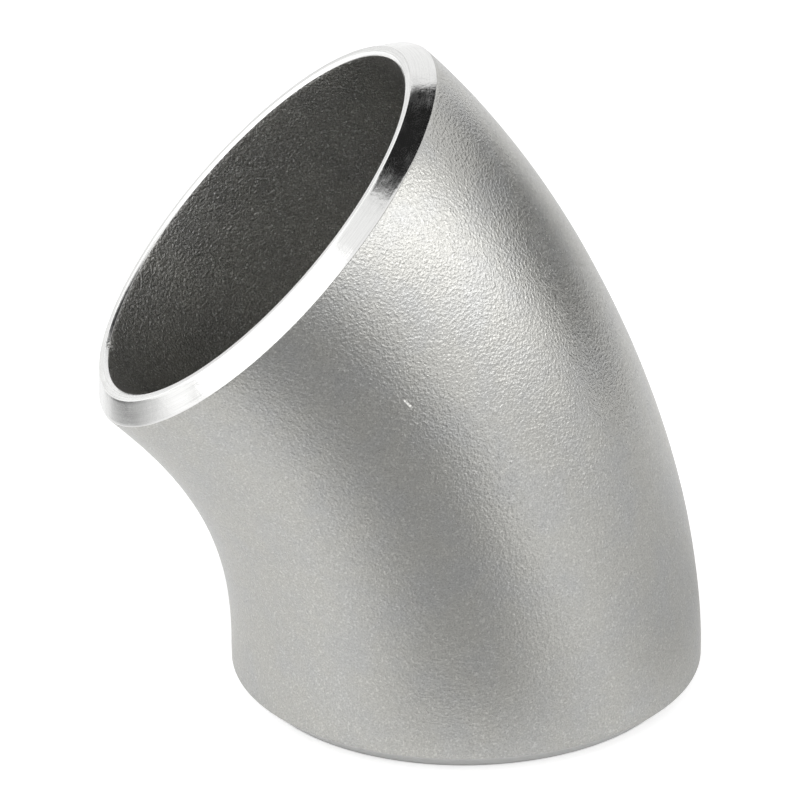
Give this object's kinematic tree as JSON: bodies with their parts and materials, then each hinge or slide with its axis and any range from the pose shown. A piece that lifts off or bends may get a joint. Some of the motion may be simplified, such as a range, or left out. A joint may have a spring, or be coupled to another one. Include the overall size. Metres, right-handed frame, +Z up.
{
  "type": "forty-five degree butt weld elbow",
  "caption": "Formed stainless steel tube elbow that turns a pipeline through forty-five degrees, with both ends bevelled for butt welding to pipe.",
  "frame": {"origin": "centre of the lower root face, on the axis of the lower end", "axes": "+Z up along the lower end's axis into the elbow, the bend turns towards -X in the XZ plane, +Y across the bend"},
  "size_m": [0.072, 0.057, 0.0784],
  "materials": {
    "stainless_steel": "blasted and pickled skin with turned, bright weld bevels"
  },
  "bodies": {
    "root": {"elbow_body": "stainless_steel"}
  },
  "joints": []
}
